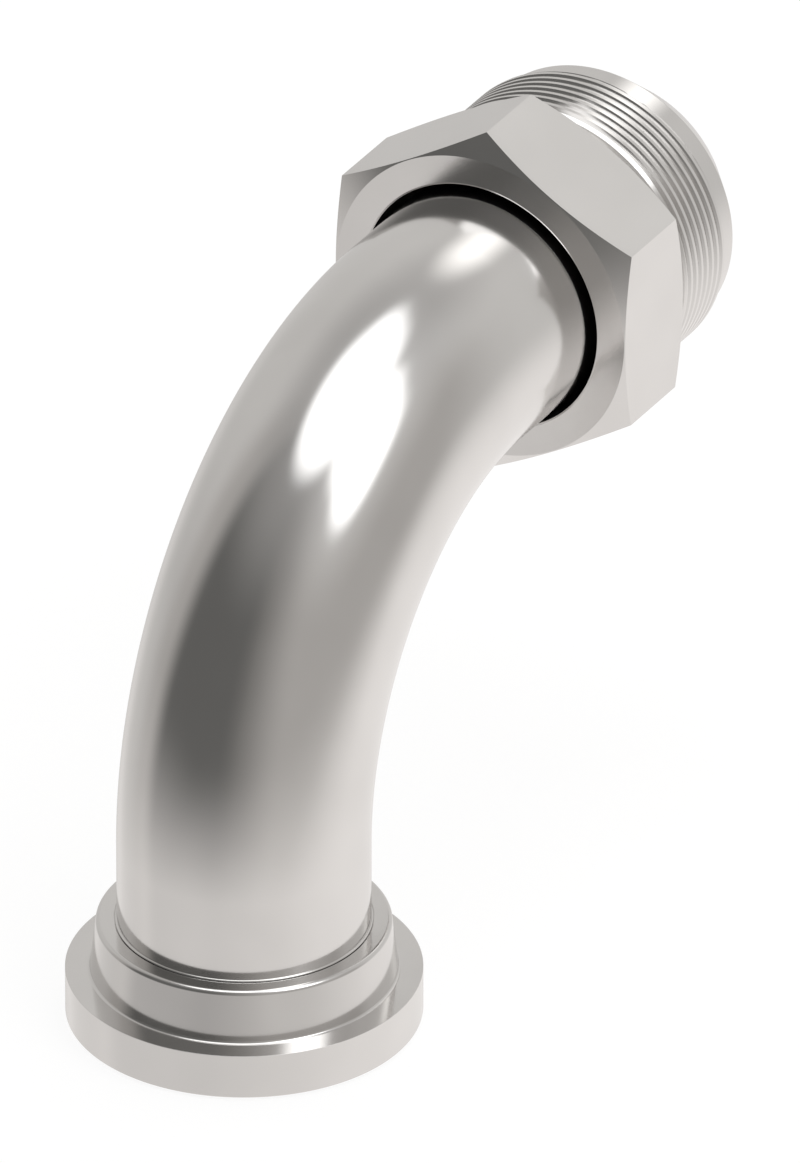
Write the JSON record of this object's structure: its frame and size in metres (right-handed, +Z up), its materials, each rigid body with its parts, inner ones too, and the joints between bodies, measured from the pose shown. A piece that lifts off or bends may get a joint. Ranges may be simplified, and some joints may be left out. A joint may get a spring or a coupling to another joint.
{
  "type": "elbow adapter",
  "caption": "Ninety degree bent tube adapter for hydraulic lines: clamp flange head with face seal on one end, flare nose with captive male swivel nut on the other.",
  "frame": {"origin": "centre of the flange face, where the flange axis meets the sealing plane", "axes": "+Z up the flange axis towards the bend, +X along the swivel axis towards the nose, Y square to the plane of the elbow"},
  "size_m": [0.1881, 0.0714, 0.1536],
  "materials": {
    "tube_steel": "bright zinc-nickel plate over a drawn and bent steel tube, semi-gloss, slightly warm",
    "machined_steel": "bright zinc-nickel plate over turned and milled steel, semi-gloss, with fine tool marks",
    "sleeve_steel": "plain turned steel, oiled, satin",
    "seal_rubber": "black nitrile rubber, satin"
  },
  "bodies": {
    "elbow": {"elbow_tube": "tube_steel", "flange_head": "machined_steel", "flange_o_ring": "seal_rubber", "nose_piece": "machined_steel"},
    "sleeve": {"support_sleeve": "sleeve_steel"},
    "nut": {"swivel_nut": "machined_steel"}
  },
  "joints": [
    {"name": "nut_slide", "type": "slide", "parent": "elbow", "child": "sleeve", "axis": [-1, 0, 0], "range_m": [0, 0.029]},
    {"name": "nut_spin", "type": "hinge", "parent": "sleeve", "child": "nut", "pos_m": [0.116, 0, 0.1143], "axis": [1, 0, 0], "continuous": true}
  ]
}
